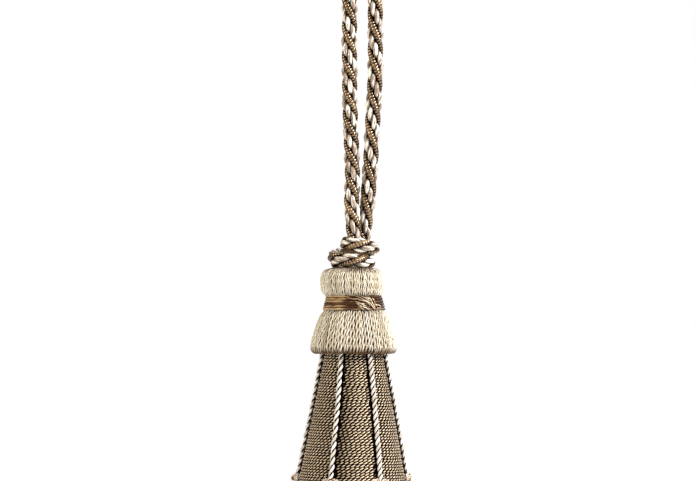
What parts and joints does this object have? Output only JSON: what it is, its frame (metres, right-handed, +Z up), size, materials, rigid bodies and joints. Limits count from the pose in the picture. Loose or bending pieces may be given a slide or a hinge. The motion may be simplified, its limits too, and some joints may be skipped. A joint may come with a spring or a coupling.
{
  "type": "tassel",
  "caption": "Trimming tassel on a twisted rope loop: rope knot, waisted yarn head with a thread band, long wound cone with laid cords, small tufts and a fringe skirt.",
  "frame": {"origin": "inner top of the rope loop, where a hook or peg carries the tassel", "axes": "+Z up along the hanging tassel, +X to the right seen from the front, the front faces -Y"},
  "size_m": [0.0833, 0.0803, 0.4436],
  "materials": {
    "two_tone_rope": "twisted brown gimp and cream strands",
    "cream_yarn": "silky two-ply yarn laid side by side",
    "brown_thread": "glossy fine threads",
    "brown_cord": "fine two-ply cord in close turns",
    "pale_cord": "silky two-ply cord",
    "tuft_yarn": "brown and cream yarn ends",
    "skirt_yarn": "twisted fringe cords"
  },
  "bodies": {
    "root": {"hanging_cord": "two_tone_rope", "knot": "two_tone_rope", "head": "cream_yarn", "waist_band": "brown_thread", "cone": "brown_cord", "cream_cord_1": "pale_cord", "cream_cord_2": "pale_cord", "cream_cord_3": "pale_cord", "cream_cord_4": "pale_cord", "cream_cord_5": "pale_cord", "cream_cord_6": "pale_cord", "tuft_1": "tuft_yarn", "tuft_2": "tuft_yarn", "tuft_3": "tuft_yarn", "tuft_4": "tuft_yarn", "tuft_5": "tuft_yarn", "tuft_6": "tuft_yarn", "skirt_outer": "skirt_yarn", "skirt_inner": "skirt_yarn"}
  },
  "joints": []
}
